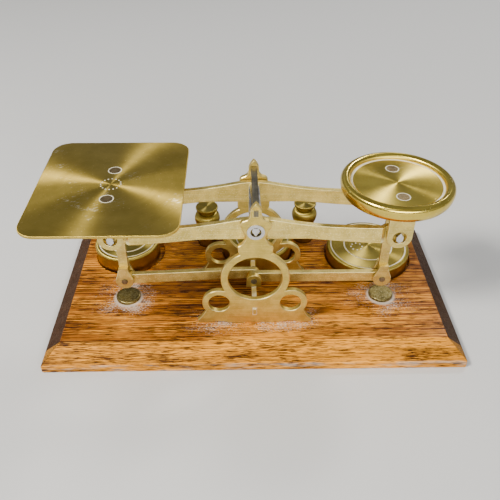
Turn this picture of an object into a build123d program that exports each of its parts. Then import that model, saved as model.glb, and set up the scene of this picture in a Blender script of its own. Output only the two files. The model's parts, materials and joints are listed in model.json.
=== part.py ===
from build123d import *
import os

# Letter scale. Millimetres. +X runs along the length, +Y to the back, +Z up.
# The origin is the middle of the base's underside.

# base board
base_length = 235.0
base_depth = 124.0
base_height = 12.0
edge_height = 4.5
front_bevel = 12.0
side_bevel = 9.5
back_bevel = 4.5
board_round = 0.9
seat_round = 0.35

# where the moving works stand
works_y = -14.0
arm = 75.0
knife_z = base_height + 61.4
stay_z = base_height + 15.5

# how far the filed edges of the brass are rounded over
edge_round = 0.3

# frame plates
plate_thickness = 3.0
plate_inner = 19.8
ring_z = base_height + 32.5
ring_outer = 18.7
ring_inner = 14.8
lobe_x = 20.0
lobe_z = base_height + 15.0
lobe_outer = 9.3
lobe_inner = 6.0
foot_half = 32.6
tang_width = 7.0
tang_depth = 6.0
tang_x = 9.0

# fulcrum
bush_outer = 4.6
bush_inner = 2.85
seat_gap = 0.1
bush_z = knife_z - seat_gap + bush_inner

# cross bars of the frame
top_bar_z = base_height + 76.0
top_bar_width = 3.4
top_bar_height = 3.6
low_bar_z = base_height + 8.8
low_bar_width = 2.8
low_bar_height = 4.2
top_tenon_width = 2.4
top_tenon_height = 3.4
low_tenon_width = 1.8
low_tenon_height = 3.8
tenon_out = 0.5
washer_width = 4.2
washer_height = 5.2
washer_thickness = 0.4

# beam
bar_thickness = 3.0
bar_outer = 19.1
bar_end_outer = 17.5
joggle_start = 65.8
joggle_end = 67.8
block_half = 3.4

# carriers
tab_outer = 20.5
tab_thickness = 2.4
tab_half = 6.6
tab_hole = 3.6
tab_hole_z = knife_z + seat_gap - tab_hole
web_top = base_height + 77.8
web_thickness = 2.4
stem_half = 2.65
stem_thickness = 2.0
leg_thickness = 1.9
leg_outer = 4.0
shelf_top = base_height + 25.0
shelf_thickness = 1.6
leg_disc = 5.2
pin_radius = 1.7
running_gap = 0.06

# stay
stay_height = 6.7
stay_thickness = 3.0
stay_offset = 3.3

# letter plate and pan
plate_top = base_height + 79.3
letter_width = 77.0
letter_depth = 91.0
letter_corner = 10.0
rivet_spacing = 28.0
rivet_head = 3.2
rivet_head_depth = 0.7
rivet_shank = 1.9
pan_floor_radius = 24.7
pan_radius = 29.9
pan_rim_top = base_height + 82.0
pan_rim_bottom = base_height + 73.8

# stop pads
pad_radius = 7.2
pad_height = 2.0
pad_edge = 0.9
pad_left_x = -75.0
pad_right_x = 76.8

# weights: middle x, middle y, radius, height of the top above the base
right_weight = (75.0, 24.4, 26.4, 8.2)
left_weight = (-80.7, 29.4, 20.4, 10.2)
rear_weight = (3.5, 32.6, 22.6, 9.0)

# their recesses in the base: middle x, middle y, radius
recess_depth = 2.5
right_recess = (75.2, 25.2, 27.7)
left_recess = (-79.3, 29.4, 22.0)
rear_recess = (3.5, 32.6, 23.4)

# small turned weights
small_left = (-29.0, 40.4)
small_right = (34.9, 44.0)
small_foot = 6.1
small_recess = 2.0


def upright(sketch, front_y, thickness):
    """Stand a flat X-Z outline up, from front_y back by its thickness."""
    back_plane = Plane(origin=(0, front_y + thickness, 0), x_dir=(1, 0, 0), z_dir=(0, -1, 0))
    return extrude(back_plane * sketch, amount=thickness)


def bar_along_y(sketch, y_from, y_to):
    return upright(sketch, y_from, y_to - y_from)


def both_sides(sketch):
    return sketch + mirror(sketch, about=Plane.YZ)


def closed_face(*edges):
    return make_face(Wire(list(edges)).edges())


def side_edges(shape):
    """The edges of every flat face that looks along y."""
    edges = ShapeList()
    for face in shape.faces().filter_by(Axis.Y):
        edges += face.edges()
    return edges


def eased(shape):
    return fillet(side_edges(shape), edge_round)


def turned(outline_edges):
    """Turn a half outline, drawn in X-Z, about the Z axis."""
    return revolve(Plane.XZ * make_face(Wire(outline_edges).edges()), axis=Axis.Z)


# ---------------------------------------------------------------- frame plates
def plate_sketch():
    z0 = base_height
    foot_run = [
        Line((0, z0), (foot_half, z0)),
        Line((foot_half, z0), (32.3, z0 + 2.4)),
        ThreePointArc((32.3, z0 + 2.4), (29.7, z0 + 5.4), (28.0, z0 + 8.4)),
        Line((28.0, z0 + 8.4), (20.0, z0 + 24.0)),
        Line((20.0, z0 + 24.0), (0, z0 + 24.0)),
        Line((0, z0 + 24.0), (0, z0)),
    ]
    head_run = [
        Line((0, z0 + 44.0), (7.6, z0 + 44.0)),
        Line((7.6, z0 + 44.0), (8.3, z0 + 49.3)),
        Line((8.3, z0 + 49.3), (9.2, z0 + 51.4)),
        Line((9.2, z0 + 51.4), (9.2, z0 + 54.8)),
        Spline((9.2, z0 + 54.8), (6.7, z0 + 56.6), (5.1, z0 + 60.4), (7.0, z0 + 65.4), (8.0, z0 + 68.3)),
        ThreePointArc((8.0, z0 + 68.3), (7.4, z0 + 69.9), (5.8, z0 + 71.0)),
        ThreePointArc((5.8, z0 + 71.0), (3.7, z0 + 72.3), (2.9, z0 + 74.3)),
        Line((2.9, z0 + 74.3), (2.9, z0 + 76.6)),
        ThreePointArc((2.9, z0 + 76.6), (1.8, z0 + 79.2), (0, z0 + 81.4)),
        Line((0, z0 + 81.4), (0, z0 + 44.0)),
    ]
    solid = both_sides(closed_face(*foot_run)) + both_sides(closed_face(*head_run))
    solid += Pos(0, ring_z) * Circle(ring_outer)
    for side in (-1, 1):
        solid += Pos(side * lobe_x, lobe_z) * Circle(lobe_outer)
        tang = Pos(side * tang_x, z0 - tang_depth / 2 + 1.0) * Rectangle(tang_width, tang_depth + 2.0)
        solid += tang
    solid -= Pos(0, ring_z) * Circle(ring_inner)
    for side in (-1, 1):
        solid -= Pos(side * lobe_x, lobe_z) * Circle(lobe_inner)
        arch_radius = 14.0
        solid -= Pos(side * 20.4, z0 + 1.2 - arch_radius) * Circle(arch_radius) & (
            Pos(side * 20.4, z0 + 2.0) * Rectangle(14.0, 4.0)
        )
    solid -= Pos(0, bush_z) * Circle(bush_outer)
    solid -= Pos(0, top_bar_z) * Rectangle(top_tenon_width, top_tenon_height)
    solid -= Pos(0, low_bar_z) * Rectangle(low_tenon_width, low_tenon_height)
    return solid


plate_front = works_y - plate_inner - plate_thickness
plate_rear = works_y + plate_inner
outline = plate_sketch()
flat_front = upright(outline, plate_front, plate_thickness)
flat_rear = upright(outline, plate_rear, plate_thickness)
frame_plate_front = chamfer(side_edges(flat_front), edge_round)
frame_plate_rear = chamfer(side_edges(flat_rear), edge_round)

bush_ring = Pos(0, bush_z) * (Circle(bush_outer) - Circle(bush_inner))
bush_lip = 0.25
fulcrum_bush_front = upright(bush_ring, plate_front - bush_lip, plate_thickness + bush_lip)
fulcrum_bush_rear = upright(bush_ring, plate_rear, plate_thickness + bush_lip)

# ---------------------------------------------------------------- cross bars
inner_front = works_y - plate_inner
inner_rear = works_y + plate_inner
outer_front = inner_front - plate_thickness
outer_rear = inner_rear + plate_thickness

top_section = Pos(0, top_bar_z) * Rectangle(top_bar_width, top_bar_height)
top_tenon = Pos(0, top_bar_z) * Rectangle(top_tenon_width, top_tenon_height)
washer_out = washer_thickness + tenon_out
tie_bar_upper = bar_along_y(top_section, inner_front, inner_rear)
tie_bar_upper += bar_along_y(top_tenon, outer_front - washer_out, outer_rear + washer_out)

low_section = Pos(0, low_bar_z) * Rectangle(low_bar_width, low_bar_height)
low_tenon = Pos(0, low_bar_z) * Rectangle(low_tenon_width, low_tenon_height)
tie_bar_lower = bar_along_y(low_section, inner_front, inner_rear)
tie_bar_lower += bar_along_y(low_tenon, outer_front - tenon_out, outer_rear + tenon_out)

washer = Pos(0, top_bar_z) * Rectangle(washer_width, washer_height)
washer = fillet(washer.vertices(), 1.2) - top_tenon
tie_washers = Compound(
    children=[
        upright(washer, outer_front - washer_thickness, washer_thickness),
        upright(washer, outer_rear, washer_thickness),
    ]
)

# ---------------------------------------------------------------- stay lug and its pin
lug_front = works_y - 4.8
lug_thickness = 2.9
lug_half = 4.3
lug_foot_z = low_bar_z + low_bar_height / 2
lug_sketch = Pos(0, (stay_z + lug_foot_z) / 2) * Rectangle(2 * lug_half, stay_z - lug_foot_z)
lug_sketch += Pos(0, stay_z) * Circle(lug_half)
lug_sketch -= Pos(0, stay_z) * Circle(pin_radius)
stay_lug = eased(upright(lug_sketch, lug_front, lug_thickness))

stay_right_front = works_y - stay_thickness / 2
stay_left_front = stay_right_front + stay_offset
pin_head_front = stay_left_front + stay_thickness + 0.3
centre_pin = bar_along_y(Pos(0, stay_z) * Circle(pin_radius), lug_front - 0.5, pin_head_front)
centre_pin += bar_along_y(Pos(0, stay_z) * Circle(pin_radius + 0.9), pin_head_front, pin_head_front + 0.9)


# ---------------------------------------------------------------- stays
def stay_profile(side):
    """Side view of one half stay, from the centre pin to the foot pin."""
    bar = Pos(side * arm / 2, stay_z) * Rectangle(arm, stay_height)
    for x in (0, side * arm):
        bar += Pos(x, stay_z) * Circle(stay_height / 2)
    for x in (0, side * arm):
        bar -= Pos(x, stay_z) * Circle(pin_radius + running_gap)
    return bar


def plan_strip(points, thickness):
    """A strip seen from above that follows its front edge, for cutting bent flat bars."""
    front = [Line(a, b) for a, b in zip(points, points[1:])]
    back_points = [(x, y + thickness) for x, y in reversed(points)]
    back = [Line(a, b) for a, b in zip(back_points, back_points[1:])]
    ends = [Line(points[-1], back_points[0]), Line(back_points[-1], points[0])]
    return make_face(Wire(front + ends + back).edges())


stay_right = eased(upright(stay_profile(1), stay_right_front, stay_thickness))

left_run = [
    (-arm - 6.0, stay_right_front),
    (-arm + 7.0, stay_right_front),
    (-7.0, stay_left_front),
    (6.0, stay_left_front),
]
left_slab = upright(stay_profile(-1), stay_right_front - 2.0, stay_offset + stay_thickness + 4.0)
left_plan = Pos(0, 0, stay_z - 10.0) * extrude(plan_strip(left_run, stay_thickness), amount=20.0)
stay_left = eased(left_slab & left_plan)


# ---------------------------------------------------------------- beam
def bar_profile():
    z0 = base_height
    low = z0 + 57.0
    end_low = z0 + 53.4
    end_high = z0 + 63.4
    top = z0 + 69.8
    end_x = arm + 5.6
    run = [
        Line((0, low), (24.0, low)),
        Spline(
            (24.0, low), (40.0, z0 + 55.7), (56.0, z0 + 54.2), (70.0, end_low),
            tangents=((1, 0), (1, 0)),
        ),
        ThreePointArc((70.0, end_low), (end_x, (end_low + end_high) / 2), (70.0, end_high)),
        Spline(
            (70.0, end_high), (45.0, z0 + 64.0), (29.0, z0 + 65.5), (14.0, z0 + 68.0), (0, top),
            tangents=((-1, 0), (-1, 0)),
        ),
        Line((0, top), (0, low)),
    ]
    return both_sides(closed_face(*run))


def fulcrum_section():
    """The fulcrum knife seen from its end, edge down."""
    points = [(0, 0), (2.0, 3.0), (1.5, 4.9), (-1.5, 4.9), (-2.0, 3.0)]
    return make_face(Polyline(*[(x, knife_z + z) for x, z in points], close=True).edges())


def end_section(side):
    """An end knife seen from its end, edge up."""
    points = [(0, 0), (1.8, -2.6), (1.7, -4.8), (0, -6.3), (-1.7, -4.8), (-1.8, -2.6)]
    return make_face(Polyline(*[(side * arm + x, knife_z + z) for x, z in points], close=True).edges())


def beam_bar(face):
    """face is -1 for the front bar and +1 for the rear bar."""
    main_y = works_y + face * bar_outer
    end_y = works_y + face * bar_end_outer
    inward = -face * bar_thickness
    reach = arm + 10.0
    corners = [(-reach, end_y), (-joggle_end, end_y), (-joggle_start, main_y)]
    corners += [(joggle_start, main_y), (joggle_end, end_y), (reach, end_y)]
    front_edge = [(x, min(y, y + inward)) for x, y in corners]
    plan = extrude(plan_strip(front_edge, bar_thickness), amount=40.0)
    slab = upright(bar_profile(), min(front_edge, key=lambda p: p[1])[1] - 2.0, bar_thickness + 8.0)
    bar = slab & (Pos(0, 0, base_height + 45.0) * plan)
    cutters = bar_along_y(fulcrum_section(), works_y - 40.0, works_y + 40.0)
    for side in (-1, 1):
        cutters += bar_along_y(end_section(side), works_y - 40.0, works_y + 40.0)
    return eased(bar - cutters)


beam_bar_front = beam_bar(-1)
beam_bar_rear = beam_bar(1)

bar_inner = bar_outer - bar_thickness
block = Pos(0, base_height + 65.5) * Rectangle(2 * block_half, 6.6)
block = fillet(block.vertices(), 1.2)
fulcrum_knife = bar_along_y(block, works_y - bar_inner, works_y + bar_inner)
fulcrum_knife += bar_along_y(fulcrum_section(), works_y - 22.6, works_y + 22.6)


def knife_pair(side):
    end_inner = bar_end_outer - bar_thickness
    section = end_section(side)
    front = bar_along_y(section, works_y - 21.2, works_y - end_inner)
    rear = bar_along_y(section, works_y + end_inner, works_y + 21.2)
    return Compound(children=[front, rear])


end_knives_left = knife_pair(-1)
end_knives_right = knife_pair(1)


# ---------------------------------------------------------------- carriers
def carrier_strap(side):
    x = side * arm
    web = Pos(x, works_y, web_top - web_thickness / 2) * Box(2 * tab_half, 2 * tab_outer, web_thickness)
    outer_edges = web.edges().filter_by(Axis.X).group_by(Axis.Z)[-1]
    web = fillet(outer_edges, 1.2)
    tab_top = web_top - web_thickness
    drop = tab_top - tab_hole_z
    tab = Pos(x, tab_hole_z + drop / 2) * Rectangle(2 * tab_half, drop)
    tab += Pos(x, tab_hole_z) * Circle(tab_half)
    tab -= Pos(x, tab_hole_z) * Circle(tab_hole)
    strap = web
    strap += upright(tab, works_y - tab_outer, tab_thickness)
    strap += upright(tab, works_y + tab_outer - tab_thickness, tab_thickness)
    tab_faces = strap.faces().filter_by(Axis.Y).sort_by(Axis.Y)
    below_web = ShapeList()
    for face in (tab_faces[0], tab_faces[-1]):
        below_web += face.edges().filter_by(lambda edge: edge.center().Z < tab_top - 1.0)
    strap = fillet(below_web, edge_round)
    for step in (-1, 1):
        strap -= Pos(x, works_y + step * rivet_spacing / 2, web_top) * Cylinder(rivet_shank, 10.0)
    return strap


def carrier_stem(side):
    """Centre strip with the fork at its foot."""
    x = side * arm
    stem_top = web_top - web_thickness
    stem_length = stem_top - shelf_top
    stem = Pos(x, works_y, shelf_top + stem_length / 2) * Box(2 * stem_half, stem_thickness, stem_length)
    shelf = Box(2 * stem_half, 2 * leg_outer, shelf_thickness)
    shelf = Pos(x, works_y, shelf_top - shelf_thickness / 2) * shelf
    leg_top = shelf_top - shelf_thickness
    neck_z = stay_z + leg_disc * 1.25
    leg = Pos(x, (leg_top + stay_z) / 2) * Rectangle(2 * stem_half, leg_top - stay_z)
    flare_half = leg_disc * 0.86
    flare = Polyline(
        (x - stem_half, neck_z + 1.5),
        (x - flare_half, stay_z + leg_disc * 0.5),
        (x + flare_half, stay_z + leg_disc * 0.5),
        (x + stem_half, neck_z + 1.5),
        close=True,
    )
    leg += make_face(flare.edges())
    leg += Pos(x, stay_z) * Circle(leg_disc)
    leg -= Pos(x, stay_z) * Circle(pin_radius)
    upper = fillet(stem.edges().filter_by(Axis.Z), edge_round)
    whole = upper + shelf
    for leg_front in (works_y - leg_outer, works_y + leg_outer - leg_thickness):
        plain_leg = upright(leg, leg_front, leg_thickness)
        leg_faces = plain_leg.faces().filter_by(Axis.Y)
        round_edges = ShapeList()
        for face in leg_faces:
            round_edges += face.edges().filter_by(lambda edge: edge.center().Z < neck_z)
        whole += fillet(round_edges, edge_round)
    return whole


def foot_pin(side):
    section = Pos(side * arm, stay_z) * Circle(pin_radius)
    return bar_along_y(section, works_y - leg_outer - 0.5, works_y + leg_outer + 0.5)


def rivet_pair(side):
    x = side * arm
    rivets = []
    for step in (-1, 1):
        y = works_y + step * rivet_spacing / 2
        under = web_top - web_thickness - 0.5
        shank_length = plate_top - under
        shank = Pos(x, y, under + shank_length / 2) * Cylinder(rivet_shank, shank_length)
        head = Pos(x, y, plate_top - rivet_head_depth / 2) * Cylinder(rivet_head, rivet_head_depth)
        tail = Pos(x, y, under) * Cylinder(rivet_shank + 0.7, 1.0)
        rivets.append(shank + head + tail)
    return Compound(children=rivets)


def rivet_holes(side):
    holes = []
    for step in (-1, 1):
        place = Pos(side * arm, works_y + step * rivet_spacing / 2, plate_top)
        holes.append(place * Cylinder(rivet_shank, 10.0))
        holes.append(place * Cylinder(rivet_head, 2 * rivet_head_depth))
    return holes


carrier_strap_left = carrier_strap(-1)
carrier_strap_right = carrier_strap(1)
carrier_stem_left = carrier_stem(-1)
carrier_stem_right = carrier_stem(1)
foot_pin_left = foot_pin(-1)
foot_pin_right = foot_pin(1)
letter_rivets = rivet_pair(-1)
pan_rivets = rivet_pair(1)

letter_sheet = RectangleRounded(letter_width, letter_depth, letter_corner)
letter_plate = Pos(-arm, works_y, web_top) * extrude(letter_sheet, amount=plate_top - web_top)
letter_plate = fillet(letter_plate.edges().group_by(Axis.Z)[-1], 0.4)
letter_plate = fillet(letter_plate.edges().group_by(Axis.Z)[0], edge_round)
for hole in rivet_holes(-1):
    letter_plate -= hole

# the rim is a rounded bead: foot, widest point, crest and the edge of the floor
rim_foot = (pan_radius - 1.6, pan_rim_bottom)
rim_widest = (pan_radius, pan_rim_top - 3.4)
rim_crest = (pan_radius - 2.6, pan_rim_top)
floor_edge = (pan_floor_radius, plate_top)
rim_corner = (pan_floor_radius, pan_rim_bottom)
rim_run = [
    Line(rim_corner, rim_foot),
    ThreePointArc(rim_foot, (pan_radius - 0.5, pan_rim_bottom + 1.9), rim_widest),
    ThreePointArc(rim_widest, (pan_radius - 0.7, pan_rim_top - 1.1), rim_crest),
    ThreePointArc(rim_crest, (pan_floor_radius + 0.8, pan_rim_top - 0.8), floor_edge),
    Line(floor_edge, rim_corner),
]
rim = closed_face(*rim_run)
pan_floor = Pos(pan_floor_radius / 2 + 0.5, (web_top + plate_top) / 2) * Rectangle(
    pan_floor_radius + 1.0, plate_top - web_top
)
pan_half = rim + pan_floor
groove = Pos(pan_floor_radius - 1.0, plate_top) * Rectangle(0.9, 0.7)
weight_pan = Pos(arm, works_y, 0) * revolve(Plane.XZ * (pan_half - groove), axis=Axis.Z)
for hole in rivet_holes(1):
    weight_pan -= hole

# ---------------------------------------------------------------- stop pads
pad = Cylinder(pad_radius, pad_height, align=(Align.CENTER, Align.CENTER, Align.MIN))
pad = Pos(0, 0, base_height) * fillet(pad.edges().group_by(Axis.Z)[-1], pad_edge)
stop_pad_left = Pos(pad_left_x, works_y, 0) * pad
stop_pad_right = Pos(pad_right_x, works_y, 0) * pad


# ---------------------------------------------------------------- weights
def disc_weight(place, inner_ring):
    x, y, radius, top_above = place
    floor_z = base_height - recess_depth
    top = base_height + top_above
    shoulder = 1.4
    run = [
        Line((0, floor_z), (radius - 0.5, floor_z)),
        Line((radius - 0.5, floor_z), (radius, floor_z + 0.5)),
        Line((radius, floor_z + 0.5), (radius, top - shoulder)),
        ThreePointArc((radius, top - shoulder), (radius - 0.6, top - 0.4), (radius - shoulder, top)),
        Line((radius - shoulder, top), (0, top)),
        Line((0, top), (0, floor_z)),
    ]
    half = make_face(Wire(run).edges())
    for ring in (radius - 2.6, inner_ring):
        half -= Pos(ring, top) * Rectangle(0.8, 0.8)
    return Pos(x, y, 0) * revolve(Plane.XZ * half, axis=Axis.Z)


def small_weight(place):
    x, y = place
    foot = base_height - small_recess
    z0 = base_height
    neck = (4.9, z0 + 24.6)
    run = [
        Line((0, foot), (small_foot, foot)),
        Line((small_foot, foot), (small_foot, z0 + 8.0)),
        Spline((small_foot, z0 + 8.0), (6.6, z0 + 14.0), (8.2, z0 + 19.8), (7.2, z0 + 23.2), neck),
        Line(neck, (5.2, z0 + 25.4)),
        ThreePointArc((5.2, z0 + 25.4), (6.8, z0 + 26.5), (7.2, z0 + 27.8)),
        ThreePointArc((7.2, z0 + 27.8), (7.0, z0 + 28.4), (6.5, z0 + 28.6)),
        Line((6.5, z0 + 28.6), (0, z0 + 28.6)),
        Line((0, z0 + 28.6), (0, foot)),
    ]
    return Pos(x, y, 0) * turned(run)


weight_right = disc_weight(right_weight, 15.2)
weight_left = disc_weight(left_weight, 12.6)
weight_rear = disc_weight(rear_weight, 13.6)
weight_small_left = small_weight(small_left)
weight_small_right = small_weight(small_right)

# ---------------------------------------------------------------- base board
lower = Pos(0, 0, edge_height / 2) * Box(base_length, base_depth, edge_height)
top_length = base_length - 2 * side_bevel
top_depth = base_depth - front_bevel - back_bevel
bottom_face = Pos(0, 0, edge_height) * Rectangle(base_length, base_depth)
top_shift = (front_bevel - back_bevel) / 2
top_face = Pos(0, top_shift, base_height) * Rectangle(top_length, top_depth)
base_board = lower + loft([bottom_face, top_face], ruled=True)
base_board = fillet(base_board.edges(), board_round)
for x, y, radius in (right_recess, left_recess, rear_recess):
    well = Cylinder(radius, recess_depth, align=(Align.CENTER, Align.CENTER, Align.MAX))
    base_board -= Pos(x, y, base_height) * well
for x, y in (small_left, small_right):
    well = Cylinder(small_foot + 0.4, small_recess, align=(Align.CENTER, Align.CENTER, Align.MAX))
    base_board -= Pos(x, y, base_height) * well
seat_rims = base_board.edges().filter_by(GeomType.CIRCLE).filter_by(
    lambda edge: abs(edge.center().Z - base_height) < 0.01
)
base_board = fillet(seat_rims, seat_round)
for middle_y in (plate_front + plate_thickness / 2, plate_rear + plate_thickness / 2):
    for side in (-1, 1):
        slot = Box(tang_width, plate_thickness, tang_depth, align=(Align.CENTER, Align.CENTER, Align.MAX))
        base_board -= Pos(side * tang_x, middle_y, base_height) * slot

# ---------------------------------------------------------------- write the parts
pieces = {
    "base_board": base_board,
    "frame_plate_front": frame_plate_front,
    "frame_plate_rear": frame_plate_rear,
    "fulcrum_bush_front": fulcrum_bush_front,
    "fulcrum_bush_rear": fulcrum_bush_rear,
    "tie_bar_upper": tie_bar_upper,
    "tie_bar_lower": tie_bar_lower,
    "tie_washers": tie_washers,
    "stay_lug": stay_lug,
    "centre_pin": centre_pin,
    "stop_pad_left": stop_pad_left,
    "stop_pad_right": stop_pad_right,
    "beam_bar_front": beam_bar_front,
    "beam_bar_rear": beam_bar_rear,
    "fulcrum_knife": fulcrum_knife,
    "end_knives_left": end_knives_left,
    "end_knives_right": end_knives_right,
    "carrier_strap_left": carrier_strap_left,
    "carrier_strap_right": carrier_strap_right,
    "carrier_stem_left": carrier_stem_left,
    "carrier_stem_right": carrier_stem_right,
    "foot_pin_left": foot_pin_left,
    "foot_pin_right": foot_pin_right,
    "letter_plate": letter_plate,
    "letter_rivets": letter_rivets,
    "weight_pan": weight_pan,
    "pan_rivets": pan_rivets,
    "stay_left": stay_left,
    "stay_right": stay_right,
    "weight_right": weight_right,
    "weight_left": weight_left,
    "weight_rear": weight_rear,
    "weight_small_left": weight_small_left,
    "weight_small_right": weight_small_right,
}

os.makedirs("parts", exist_ok=True)
for name, shape in pieces.items():
    export_step(shape, os.path.join("parts", name + ".step"))
    box = shape.bounding_box()
    print(f"{name}: volume {shape.volume:.1f} mm3, z {box.min.Z:.2f} to {box.max.Z:.2f}")
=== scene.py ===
import json
import math

import bpy
from mathutils import Matrix, Vector

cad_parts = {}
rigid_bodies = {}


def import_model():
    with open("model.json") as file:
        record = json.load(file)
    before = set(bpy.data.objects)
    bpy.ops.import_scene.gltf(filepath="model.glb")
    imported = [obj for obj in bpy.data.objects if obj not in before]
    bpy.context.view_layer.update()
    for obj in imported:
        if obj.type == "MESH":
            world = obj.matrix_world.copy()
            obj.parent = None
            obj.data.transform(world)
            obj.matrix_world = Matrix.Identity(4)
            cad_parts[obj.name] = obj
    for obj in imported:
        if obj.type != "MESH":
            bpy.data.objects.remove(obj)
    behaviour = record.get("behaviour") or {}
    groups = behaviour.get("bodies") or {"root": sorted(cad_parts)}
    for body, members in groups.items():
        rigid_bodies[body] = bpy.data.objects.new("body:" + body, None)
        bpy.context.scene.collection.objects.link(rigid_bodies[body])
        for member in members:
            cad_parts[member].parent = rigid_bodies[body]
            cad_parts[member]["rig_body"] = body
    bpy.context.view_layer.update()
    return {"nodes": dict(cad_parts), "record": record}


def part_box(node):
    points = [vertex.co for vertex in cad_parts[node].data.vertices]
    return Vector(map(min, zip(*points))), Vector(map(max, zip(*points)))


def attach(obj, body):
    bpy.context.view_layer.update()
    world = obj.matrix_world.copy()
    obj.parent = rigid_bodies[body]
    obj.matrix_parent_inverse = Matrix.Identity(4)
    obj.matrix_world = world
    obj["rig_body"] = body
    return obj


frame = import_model()
nodes = frame["nodes"]
mm = 0.001

print("frame loaded")


# shader maths: a value knows its shader, and each operator adds the Math node for it
class Value:
    def __init__(self, shader, socket):
        self.shader = shader
        self.socket = socket

    def maths(self, operation, *values):
        return self.shader.add("ShaderNodeMath", {"operation": operation}, dict(enumerate(values)))

    def __add__(self, other):
        return self.maths("ADD", self, other)

    def __radd__(self, other):
        return self.maths("ADD", other, self)

    def __sub__(self, other):
        return self.maths("SUBTRACT", self, other)

    def __rsub__(self, other):
        return self.maths("SUBTRACT", other, self)

    def __mul__(self, other):
        return self.maths("MULTIPLY", self, other)

    def __rmul__(self, other):
        return self.maths("MULTIPLY", other, self)

    def __truediv__(self, other):
        return self.maths("DIVIDE", self, other)

    def __abs__(self):
        return self.maths("ABSOLUTE", self)

    def power(self, other):
        return self.maths("POWER", self, other)

    def highest(self, other):
        return self.maths("MAXIMUM", self, other)

    def ramp(self, low, high, start=0.0, end=1.0):
        settings = {"interpolation_type": "SMOOTHSTEP"}
        inputs = {"Value": self, "From Min": low, "From Max": high, "To Min": start, "To Max": end}
        return self.shader.add("ShaderNodeMapRange", settings, inputs)


class Shader:
    def __init__(self, name):
        self.material = bpy.data.materials.new(name)
        self.material.use_nodes = True
        self.tree = self.material.node_tree
        self.tree.nodes.clear()
        self.place = self.add("ShaderNodeTexCoord", output="Object")

    def add(self, kind, settings=None, inputs=None, output=None):
        made = self.tree.nodes.new(kind)
        for key, setting in (settings or {}).items():
            if key != "stops":
                setattr(made, key, setting)
                continue
            stops = made.color_ramp.elements
            while len(stops) < len(setting):
                stops.new(0.5)
            for stop, (where, colour) in zip(stops, setting):
                stop.position = where
                stop.color = (*colour, 1.0)
        for key, value in (inputs or {}).items():
            if isinstance(key, int):
                socket = made.inputs[key]
            else:
                socket = next(s for s in made.inputs if s.name == key and s.enabled)
            if isinstance(value, Value):
                self.tree.links.new(value.socket, socket)
            elif socket.type == "RGBA" and len(value) == 3:
                socket.default_value = (*value, 1.0)
            else:
                socket.default_value = value
        if not len(made.outputs):
            return made
        if output:
            return Value(self, made.outputs[output])
        return Value(self, next(s for s in made.outputs if s.enabled))

    def stretched(self, scale, turn=(0, 0, 0), centre=(0, 0, 0)):
        inputs = {"Vector": self.place, "Location": tuple(-c for c in centre)}
        moved = self.add("ShaderNodeMapping", {"vector_type": "POINT"}, inputs)
        inputs = {"Vector": moved, "Rotation": turn, "Scale": scale}
        return self.add("ShaderNodeMapping", {"vector_type": "TEXTURE"}, inputs)

    def apart(self, vector):
        split = self.add("ShaderNodeSeparateXYZ", None, {"Vector": vector}).socket.node
        return [Value(self, socket) for socket in split.outputs]

    def axes(self, centre=(0, 0, 0)):
        moved = self.add("ShaderNodeVectorMath", {"operation": "SUBTRACT"}, {0: self.place, 1: centre})
        return self.apart(moved)

    def noise(self, vector, detail=3.0, roughness=0.55, distortion=0.0, scale=1.0):
        inputs = {"Vector": vector, "Scale": scale, "Detail": detail}
        inputs.update({"Roughness": roughness, "Distortion": distortion})
        return self.add("ShaderNodeTexNoise", {"noise_dimensions": "3D"}, inputs)

    def mix(self, factor, first, second, blend="MIX"):
        settings = {"data_type": "RGBA", "blend_type": blend}
        return self.add("ShaderNodeMix", settings, {"Factor": factor, "A": first, "B": second})

    def bump(self, height, distance, strength):
        inputs = {"Height": height, "Distance": distance, "Strength": strength}
        return self.add("ShaderNodeBump", None, inputs)

    def finish(self, surface):
        shader = self.add("ShaderNodeBsdfPrincipled", None, surface)
        self.add("ShaderNodeOutputMaterial", None, {"Surface": shader})
        return self.material


def middleOf(node):
    low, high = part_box(node)
    return (low + high) / 2


# where the base's flat top ends and its sloping edges begin
boardLow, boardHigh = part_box("base_board")
boardTop = boardHigh.z
boardSlopes = dict(side=9.5 * mm, front=12.0 * mm, back=4.5 * mm)
leftPad = middleOf("stop_pad_left")
rightPad = middleOf("stop_pad_right")

woodLook = dict(
    dark=(0.070, 0.017, 0.0025),
    middle=(0.370, 0.120, 0.010),
    light=(0.800, 0.320, 0.026),
    pore=(0.022, 0.007, 0.002),
    endGrainAndShade=(0.030, 0.013, 0.004),
    endGrainAndShadeLighter=(0.050, 0.020, 0.008),
    paintedLightFrontSlope=(1.0, 0.42, 0.02),
    polishAndHighlight=(0.62, 0.54, 0.45),
    footSpread=dict(frame_plate_front=18 * mm, frame_plate_rear=10 * mm),
    grainLength=0.055,
    grainWidth=0.0011,
    poreLength=0.0060,
    poreWidth=0.00036,
)


def nearness(shader, point, inner, outer):
    x, y, _ = shader.axes(point)
    distance = (x * x + y * y).power(0.5)
    return distance.ramp(inner, outer, 1.0, 0.0)


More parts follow.
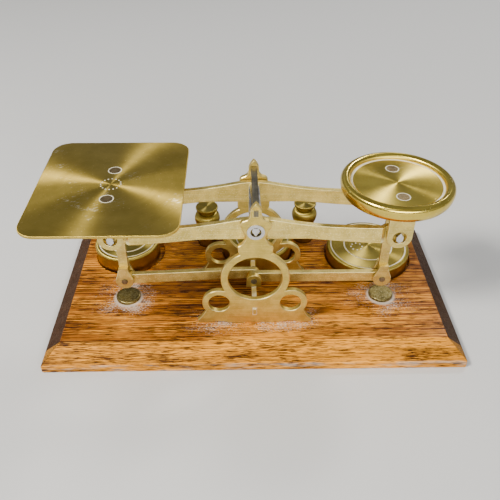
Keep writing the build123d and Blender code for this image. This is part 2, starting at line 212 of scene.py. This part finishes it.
def woodMaterial():
    look = woodLook
    shader = Shader("oiled board")
    x, y, z = shader.axes()
    grainSize = (look["grainLength"], look["grainWidth"], look["grainWidth"])
    grain = shader.noise(shader.stretched(grainSize), 5.0, 0.62)
    figure = shader.noise(shader.stretched((0.09, 0.014, 0.014)), 3.0, 0.5, 0.6)
    tone = grain * 0.72 + figure * 0.36
    stops = [(0.44, look["dark"]), (0.53, look["middle"]), (0.63, look["light"])]
    colour = shader.add("ShaderNodeValToRGB", {"stops": stops}, {"Fac": tone}, "Color")
    poreSize = (look["poreLength"], look["poreWidth"], look["poreWidth"])
    pores = shader.noise(shader.stretched(poreSize), 2.0, 0.5)
    groups = shader.noise(shader.stretched((0.03, 0.006, 0.006), centre=(0.3, 0.1, 0)), 2.0)
    pore = (pores + (groups - 0.5) * 0.45).ramp(0.51, 0.59)
    colour = shader.mix(pore * 0.82, colour, look["pore"])
    sideways = (abs(x) - (boardHigh.x - boardSlopes["side"])) / boardSlopes["side"]
    forwards = ((boardLow.y + boardSlopes["front"]) - y) / boardSlopes["front"]
    backwards = (y - (boardHigh.y - boardSlopes["back"])) / boardSlopes["back"]
    endFace = (sideways - forwards.highest(backwards).highest(0.0)).ramp(0.0, 0.04)
    crossGrain = shader.noise(shader.stretched((0.0012, 0.0012, 0.006)), 3.0)
    endGrainAndShadeColour = shader.mix(crossGrain.ramp(0.35, 0.7), look["endGrainAndShade"], look["endGrainAndShadeLighter"])
    # the side slopes: the end grain's own darker tone, taken near black as painted shade where little light
    # falls
    colour = shader.mix(endFace * 0.97, colour, endGrainAndShadeColour)
    slope = forwards.ramp(0.0, 0.05)
    # painted light: the front slope is mixed towards a bright orange, standing for the light that falls on it
    colour = shader.mix(slope * (1.0 - pore) * 0.35, colour, look["paintedLightFrontSlope"])
    # dried polish in the pores round the studs and the frame's feet; the front slope's lower arris is
    # lightened too, as worn edge and painted highlight
    flecks = shader.noise(shader.stretched((0.0014, 0.0005, 0.0005)), 3.0, 0.7)
    patch = shader.noise(shader.stretched((0.016, 0.010, 0.010), centre=(0.07, 0.03, 0)), 2.0)
    spread = nearness(shader, leftPad, 0.007, 0.032).highest(nearness(shader, rightPad, 0.007, 0.034))
    for node, reach in look["footSpread"].items():
        low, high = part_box(node)
        alongX = abs(x).ramp(high.x - 0.004, high.x + reach, 1.0, 0.0)
        fromFoot = abs(y - (low.y + high.y) / 2).ramp(0.002, reach, 1.0, 0.0)
        spread = spread.highest(alongX * fromFoot)
    topOnly = z.ramp(boardTop - 0.0012, boardTop - 0.0004)
    polishWearAndHighlight = (flecks + (patch - 0.5) * 0.5 + spread * 0.20).ramp(0.70, 0.80) * spread * topOnly
    for pad in (leftPad, rightPad):
        ring = nearness(shader, pad + Vector((0, -0.0008, 0)), 0.0074, 0.0094)
        polishWearAndHighlight = polishWearAndHighlight.highest(ring * topOnly * (flecks + 0.3).ramp(0.45, 0.75))
    # the lower arris of the front slope: worn edge and painted highlight, mixed into the polish colour
    wear = shader.noise(shader.stretched((0.02, 0.004, 0.004), centre=(0.2, 0.2, 0)), 3.0, 0.7)
    wornArrisAndHighlight = abs(forwards - 1.0).ramp(0.02, 0.10, 1.0, 0.0) * (1.0 - endFace)
    polishWearAndHighlight = polishWearAndHighlight.highest(wornArrisAndHighlight * wear.ramp(0.45, 0.7) * 0.55)
    colour = shader.mix(polishWearAndHighlight * 0.8, colour, look["polishAndHighlight"])
    roughness = grain.ramp(0.3, 0.7, 0.42, 0.30) + pore * 0.2 + polishWearAndHighlight * 0.3 + endFace * 0.15
    height = grain * 0.3 - pore * 1.0 + polishWearAndHighlight * 0.3
    return shader.finish({
        "Base Color": colour,
        "Roughness": roughness,
        "Normal": shader.bump(height, 0.00012, 0.7),
        "Specular IOR Level": 0.10,
        "Coat Weight": (1.0 - endFace.highest(slope)) * 0.16,
        "Coat Roughness": 0.12,
    })


# dried polish left on the brass; the groove colour also stands for a painted highlight
driedPolishAndHighlight = dict(grooveHighlightAndPolish=(0.86, 0.80, 0.60), roundTenon=(0.90, 0.85, 0.68), scuffs=(0.92, 0.84, 0.58))
tenonRing = dict(halfWidth=0.9 * mm, halfHeight=1.9 * mm)


def metalMaterial(name, look):
    shader = Shader(name)
    facing = shader.apart(shader.add("ShaderNodeTexCoord", output="Normal"))
    flatness = abs(facing[1])  # 1 on the faces that look along y, 0 on the walls between them
    edge = flatness.ramp(0.12, 0.35) * flatness.ramp(0.86, 0.97, 1.0, 0.0) * look["edge"]  # painted highlight on the chamfers between the flat faces: brighter colour there, and a little smoother
    lengthways, across = look["grain"]
    brushed = shader.noise(shader.stretched((lengthways, across, across)), 2.0, 0.6)
    mottle = shader.noise(shader.stretched((0.006, 0.006, 0.006)), 4.0, 0.6)
    fine = shader.noise(shader.stretched((0.0007, 0.0007, 0.0007)), 2.0, 0.6)
    colour = shader.mix(mottle.ramp(0.35, 0.68), look["dark"], look["light"])
    colour = shader.mix(fine.ramp(0.52, 0.74) * look["cast"], colour, look["bright"])
    colour = shader.mix(brushed.ramp(0.4, 0.7) * 0.25, colour, look["bright"])
    # painted highlight: the chamfered edges are mixed towards the bright colour
    colour = shader.mix(edge, colour, look["bright"])
    if name == "frame brass":  # polish left round the lower bar's tenon
        sideways, _, upwards = shader.axes(tuple(middleOf("tie_bar_lower")))
        outside = (abs(sideways) / tenonRing["halfWidth"]).highest(abs(upwards) / tenonRing["halfHeight"])
        ring = outside.ramp(0.85, 1.0) * outside.ramp(1.35, 1.6, 1.0, 0.0)
        colour = shader.mix(ring * 0.8, colour, driedPolishAndHighlight["roundTenon"])
    smooth, rough = look["roughness"]
    roughness = mottle.ramp(0.3, 0.7, smooth, rough) + (fine - 0.5) * 0.10 * look["cast"] - edge * 0.12
    height = brushed * 0.5 + fine * look["cast"]
    return shader.finish({
        "Base Color": colour,
        "Metallic": 1.0,
        "Roughness": roughness,
        "Normal": shader.bump(height, look["depth"], 0.5),
    })


def turnedMaterial(name, look, centre, rings=(), rivets=()):
    shader = Shader(name)
    x, y, z = shader.axes(centre)
    radius = (x * x + y * y).power(0.5)
    pale = None  # pale rings: painted highlight mixed with dried polish at the grooves, and polish left round the rivets
    for reach, halfWidth in rings:
        band = abs(radius - reach).ramp(halfWidth * 0.7, halfWidth, 1.0, 0.0)
        pale = band if pale is None else pale.highest(band)
    for rivet in rivets:
        across, along = shader.axes(rivet)[:2]
        fromRivet = (across * across + along * along).power(0.5)
        off = abs(fromRivet - rivetRing["radius"])
        band = off.ramp(rivetRing["half"] * 0.6, rivetRing["half"], 1.0, 0.0)
        pale = band if pale is None else pale.highest(band)
    ringPlace = shader.add("ShaderNodeCombineXYZ", None, {"X": radius, "Y": z * 0.2})
    turning = shader.noise(ringPlace, 3.0, 0.7, scale=look["ringsPerMetre"])
    mottle = shader.noise(shader.stretched((0.012, 0.012, 0.012)), 4.0, 0.6)
    scratchPlace = shader.stretched((0.02, 0.0005, 0.0005), turn=(0, 0, 0.9))
    scratches = shader.noise(scratchPlace, 2.0, 0.7)
    specks = shader.noise(shader.stretched((0.0011, 0.0011, 0.0011)), 1.0)
    colour = shader.mix(mottle.ramp(0.3, 0.7), look["dark"], look["light"])
    colour = shader.mix(turning.ramp(0.35, 0.7) * 0.14, colour, look["bright"])
    patches = shader.noise(shader.stretched((0.024, 0.016, 0.016), centre=(0.31, 0.12, 0)), 2.0)
    scuffPlace = shader.stretched((0.0034, 0.0011, 0.0011), turn=(0, 0, 0.5), centre=(0.05, 0, 0))
    scuffs = shader.noise(scuffPlace, 4.0, 0.75)
    scuff = (scuffs + (patches - 0.5) * 0.9).ramp(0.73, 0.78)
    scratch = scratches.ramp(0.66, 0.74) * 0.35 + specks.ramp(0.70, 0.74)
    colour = shader.mix(scratch * look["wear"], colour, look["bright"])
    colour = shader.mix(scuff * look["wear"] * 0.75, colour, driedPolishAndHighlight["scuffs"])
    smooth, rough = look["roughness"]
    polished = radius.ramp(look["polishedFrom"], look["polishedFrom"] + 0.001)
    roughness = turning.ramp(0.3, 0.7, smooth, rough) * (1.0 - polished * 0.45) + (scratch + scuff) * 0.12
    metallic = 1.0
    if pale is not None:
        crumbs = shader.noise(shader.stretched((0.0012, 0.0012, 0.0012), centre=(0.1, 0, 0)), 2.0)
        pale = pale * crumbs.ramp(0.22, 0.42, 0.55, 1.0)
        # painted highlight and dried polish: the groove rings are mixed towards a pale, less metallic colour
        colour = shader.mix(pale, colour, driedPolishAndHighlight["grooveHighlightAndPolish"])
        roughness = roughness + pale * 0.2
        metallic = 1.0 - pale * 0.8
    return shader.finish({
        "Base Color": colour,
        "Metallic": metallic,
        "Roughness": roughness,
        "Anisotropic": look["anisotropic"],
        "Normal": shader.bump(turning, look["depth"], 0.35),
    })


brassLooks = {
    "frame brass": dict(dark=(0.56, 0.41, 0.085), light=(0.70, 0.53, 0.130), bright=(0.94, 0.76, 0.28),
                        grain=(0.02, 0.0004), cast=0.25, roughness=(0.42, 0.52), depth=0.00002, edge=1.0),
    "beam brass": dict(dark=(0.60, 0.45, 0.100), light=(0.80, 0.62, 0.165), bright=(1.00, 0.88, 0.44),
                       grain=(0.03, 0.0005), cast=0.8, roughness=(0.42, 0.54), depth=0.00004, edge=0.8),
    "carrier brass": dict(dark=(0.58, 0.44, 0.110), light=(0.76, 0.59, 0.165), bright=(0.98, 0.86, 0.44),
                          grain=(0.004, 0.0004), cast=0.45, roughness=(0.40, 0.50), depth=0.00003, edge=0.8),
    "rivet brass": dict(dark=(0.17, 0.115, 0.050), light=(0.27, 0.19, 0.090), bright=(0.52, 0.42, 0.24),
                        grain=(0.003, 0.0003), cast=0.5, roughness=(0.38, 0.5), depth=0.00003, edge=0.0),
    "stud bronze": dict(dark=(0.075, 0.058, 0.016), light=(0.20, 0.155, 0.045), bright=(0.55, 0.47, 0.22),
                        grain=(0.002, 0.0008), cast=0.9, roughness=(0.36, 0.5), depth=0.00010, edge=0.0),
    "dark steel": dict(dark=(0.16, 0.14, 0.095), light=(0.26, 0.23, 0.165), bright=(0.50, 0.46, 0.34),
                       grain=(0.0006, 0.03), cast=0.3, roughness=(0.34, 0.44), depth=0.00003, edge=0.0),
    "knife steel": dict(dark=(0.52, 0.50, 0.48), light=(0.72, 0.71, 0.69), bright=(0.92, 0.91, 0.90),
                        grain=(0.0006, 0.004), cast=0.3, roughness=(0.16, 0.28), depth=0.00002, edge=0.0),
}
turnedLooks = {
    "plate brass": dict(dark=(0.52, 0.365, 0.060), light=(0.64, 0.460, 0.085), bright=(0.86, 0.68, 0.24),
                        ringsPerMetre=5200, anisotropic=0.93, roughness=(0.38, 0.45),
                        depth=0.000006, wear=0.9, polishedFrom=0.2),
    "pan brass": dict(dark=(0.58, 0.42, 0.060), light=(0.74, 0.56, 0.090), bright=(0.96, 0.80, 0.30),
                      ringsPerMetre=4200, anisotropic=0.92, roughness=(0.30, 0.38),
                      depth=0.000006, wear=0.5, polishedFrom=0.0248),
    "weight brass": dict(dark=(0.32, 0.235, 0.040), light=(0.50, 0.38, 0.070), bright=(0.90, 0.74, 0.28),
                         ringsPerMetre=3600, anisotropic=0.90, roughness=(0.40, 0.48),
                         depth=0.000006, wear=0.4, polishedFrom=0.2),
}
metalOf = {
    "frame_brass": "frame brass",
    "beam_brass": "beam brass",
    "carrier_brass": "carrier brass",
    "rivet_brass": "rivet brass",
    "bronze": "stud bronze",
    "steel": "dark steel",
    "knife_steel": "knife steel",
}
materials = {name: metalMaterial(name, look) for name, look in brassLooks.items()}
materials["board"] = woodMaterial()
slotOf = {row["node"]: row["material_slot"] for row in frame["record"]["subparts"]}

rivetRing = dict(radius=3.35 * mm, half=0.45 * mm, headRadius=3.2 * mm)
grooveRings = dict(fromRim=2.6 * mm, half=0.5 * mm)
innerRings = {"weight_right": 15.2 * mm, "weight_left": 12.6 * mm, "weight_rear": 13.6 * mm}
panRing = dict(radius=24.0 * mm, half=0.7 * mm)


def rivetPlaces(node):
    low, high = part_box(node)
    middle = (low + high) / 2
    inset = rivetRing["headRadius"]
    return [(middle.x, low.y + inset, high.z), (middle.x, high.y - inset, high.z)]


def ringsOn(node):
    if node == "weight_pan":
        return [(panRing["radius"], panRing["half"])]
    if node not in innerRings:
        return []
    low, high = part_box(node)
    outer = (high.x - low.x) / 2 - grooveRings["fromRim"]
    return [(outer, grooveRings["half"]), (innerRings[node], grooveRings["half"])]


rivetsOn = {"letter_plate": rivetPlaces("letter_rivets"), "weight_pan": rivetPlaces("pan_rivets")}
for node, piece in nodes.items():
    slot = slotOf[node]
    if slot == "wood":
        finish = materials["board"]
    elif slot in metalOf:
        finish = materials[metalOf[slot]]
    else:
        look = slot.replace("_", " ")
        centre = tuple(middleOf(node))
        rivets = rivetsOn.get(node, ())
        finish = turnedMaterial(look + " " + node, turnedLooks[look], centre, ringsOn(node), rivets)
    piece.data.materials.clear()
    piece.data.materials.append(finish)
print("materials given to", len(nodes), "pieces")


# punched dots: a ring of low domes on the plate and on each disc weight
dome = dict(segments=14, rings=8, radius=1.0)


def dotTree():
    tree = bpy.data.node_groups.new("punched dots", "GeometryNodeTree")
    for name, kind in (
        ("Count", "NodeSocketInt"),
        ("Ring Radius", "NodeSocketFloat"),
        ("Dot Size", "NodeSocketVector"),
        ("Centre", "NodeSocketVector"),
        ("Finish", "NodeSocketMaterial"),
    ):
        tree.interface.new_socket(name, in_out="INPUT", socket_type=kind)
    tree.interface.new_socket("Geometry", in_out="OUTPUT", socket_type="NodeSocketGeometry")
    given = tree.nodes.new("NodeGroupInput")
    ring = tree.nodes.new("GeometryNodeMeshCircle")
    ball = tree.nodes.new("GeometryNodeMeshUVSphere")
    ball.inputs["Segments"].default_value = dome["segments"]
    ball.inputs["Rings"].default_value = dome["rings"]
    ball.inputs["Radius"].default_value = dome["radius"]
    shaped = tree.nodes.new("GeometryNodeTransform")
    spread = tree.nodes.new("GeometryNodeInstanceOnPoints")
    placed = tree.nodes.new("GeometryNodeTransform")
    real = tree.nodes.new("GeometryNodeRealizeInstances")
    painted = tree.nodes.new("GeometryNodeSetMaterial")
    result = tree.nodes.new("NodeGroupOutput")
    link = tree.links.new
    link(given.outputs["Count"], ring.inputs["Vertices"])
    link(given.outputs["Ring Radius"], ring.inputs["Radius"])
    link(ball.outputs["Mesh"], shaped.inputs["Geometry"])
    link(given.outputs["Dot Size"], shaped.inputs["Scale"])
    link(ring.outputs["Mesh"], spread.inputs["Points"])
    link(shaped.outputs["Geometry"], spread.inputs["Instance"])
    link(spread.outputs["Instances"], placed.inputs["Geometry"])
    link(given.outputs["Centre"], placed.inputs["Translation"])
    link(placed.outputs["Geometry"], real.inputs["Geometry"])
    link(real.outputs["Geometry"], painted.inputs["Geometry"])
    link(given.outputs["Finish"], painted.inputs["Material"])
    link(painted.outputs["Geometry"], result.inputs["Geometry"])
    return tree


def plainMesh(name, maker):
    evaluated = maker.evaluated_get(bpy.context.evaluated_depsgraph_get())
    mesh = bpy.data.meshes.new_from_object(evaluated)
    bpy.data.objects.remove(maker)
    for face in mesh.polygons:
        face.use_smooth = True
    made = bpy.data.objects.new(name, mesh)
    bpy.context.scene.collection.objects.link(made)
    return made


def dotRing(tree, name, sizes):
    maker = bpy.data.objects.new(name + "_maker", bpy.data.meshes.new(name + "_maker"))
    bpy.context.scene.collection.objects.link(maker)
    modifier = maker.modifiers.new("dots", "NODES")
    modifier.node_group = tree
    for item in tree.interface.items_tree:
        if item.in_out == "INPUT":
            modifier[item.identifier] = sizes[item.name]
    return plainMesh(name, maker)


fillingLook = dict(dark=(0.72, 0.64, 0.42), light=(0.90, 0.86, 0.70), roughness=(0.45, 0.65), metallic=0.2)
paleShader = Shader("pale filling")
crumbs = paleShader.noise(paleShader.stretched((0.0008, 0.0008, 0.0008)), 3.0)
materials["filling"] = paleShader.finish({
    "Base Color": paleShader.mix(crumbs.ramp(0.35, 0.65), fillingLook["dark"], fillingLook["light"]),
    "Roughness": crumbs.ramp(0.3, 0.7, *fillingLook["roughness"]),
    "Metallic": fillingLook["metallic"],
})
dotMarks = {
    "letter_plate": dict(count=16, ring=5.2 * mm, dot=0.42 * mm, high=0.10 * mm, aside=(0, 0)),
    "weight_right": dict(count=8, ring=3.6 * mm, dot=0.55 * mm, high=0.12 * mm, aside=(-7.5 * mm, -1.5 * mm)),
    "weight_left": dict(count=4, ring=2.2 * mm, dot=0.55 * mm, high=0.12 * mm, aside=(6.5 * mm, -3.0 * mm)),
    "weight_rear": dict(count=5, ring=2.6 * mm, dot=0.55 * mm, high=0.12 * mm, aside=(6.5 * mm, 0)),
}
tree = dotTree()
for node, mark in dotMarks.items():
    low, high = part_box(node)
    middle = (low + high) / 2
    centre = (middle.x + mark["aside"][0], middle.y + mark["aside"][1], high.z)
    sizes = {
        "Count": mark["count"],
        "Ring Radius": mark["ring"],
        "Dot Size": (mark["dot"], mark["dot"], mark["high"]),
        "Centre": centre,
        "Finish": materials["filling"],
    }
    dots = dotRing(tree, node + "_dots", sizes)
    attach(dots, nodes[node]["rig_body"])
print("punched dots made")

# camera
cameraView = dict(
    place=(-9.39 * mm, -282.44 * mm, 257.24 * mm),
    down=38.065,
    turn=1.505,
    roll=0.433,
    lens=43.23,
)
cameraData = bpy.data.cameras.new("camera")
cameraData.lens = cameraView["lens"]
cameraData.sensor_width = 36.0
cameraData.clip_start = 0.01
camera = bpy.data.objects.new("camera", cameraData)
bpy.context.scene.collection.objects.link(camera)
turned = Matrix.Rotation(math.radians(-cameraView["turn"]), 4, "Z")
tipped = Matrix.Rotation(math.radians(90 - cameraView["down"]), 4, "X")
rolled = Matrix.Rotation(math.radians(cameraView["roll"]), 4, "Z")
camera.matrix_world = Matrix.Translation(cameraView["place"]) @ turned @ tipped @ rolled
bpy.context.scene.camera = camera

# floor
floorLook = dict(halfSide=3.0, colour=(0.62, 0.62, 0.61), roughness=0.8)
floorMesh = bpy.data.meshes.new("floor")
corners = [(-1, -1), (1, -1), (1, 1), (-1, 1)]
spots = [(x * floorLook["halfSide"], y * floorLook["halfSide"], 0) for x, y in corners]
floorMesh.from_pydata(spots, [], [(0, 1, 2, 3)])
floor = bpy.data.objects.new("floor", floorMesh)
bpy.context.scene.collection.objects.link(floor)
floorShader = Shader("pale floor")
floorFinish = {"Base Color": floorLook["colour"], "Roughness": floorLook["roughness"]}
floorMesh.materials.append(floorShader.finish(floorFinish))

# lights: name, place, size, watts, colour
aim = (0, 0, 0.05)
lightPlan = [
    ("key", (-0.85, -0.52, 1.08), (0.34, 0.34), 30, (1.0, 0.96, 0.90)),
    ("back", (0.70, 0.80, 0.93), (0.20, 0.20), 7, (1.0, 0.98, 0.95)),
    ("low", (0.15, -1.15, 0.50), (1.00, 0.40), 13, (1.0, 0.98, 0.94)),
]
for name, place, size, watts, colour in lightPlan:
    data = bpy.data.lights.new(name, "AREA")
    data.shape = "RECTANGLE"
    data.size, data.size_y = size
    data.energy = watts
    data.color = colour
    light = bpy.data.objects.new(name, data)
    bpy.context.scene.collection.objects.link(light)
    towards = (Vector(aim) - Vector(place)).to_track_quat("-Z", "Y")
    light.matrix_world = Matrix.Translation(place) @ towards.to_matrix().to_4x4()
roomLight = dict(colour=(0.80, 0.83, 0.88, 1), strength=0.32)
world = bpy.data.worlds.new("room")
world.use_nodes = True
background = world.node_tree.nodes["Background"]
background.inputs["Color"].default_value = roomLight["colour"]
background.inputs["Strength"].default_value = roomLight["strength"]
bpy.context.scene.world = world
print("camera, floor and lights set")
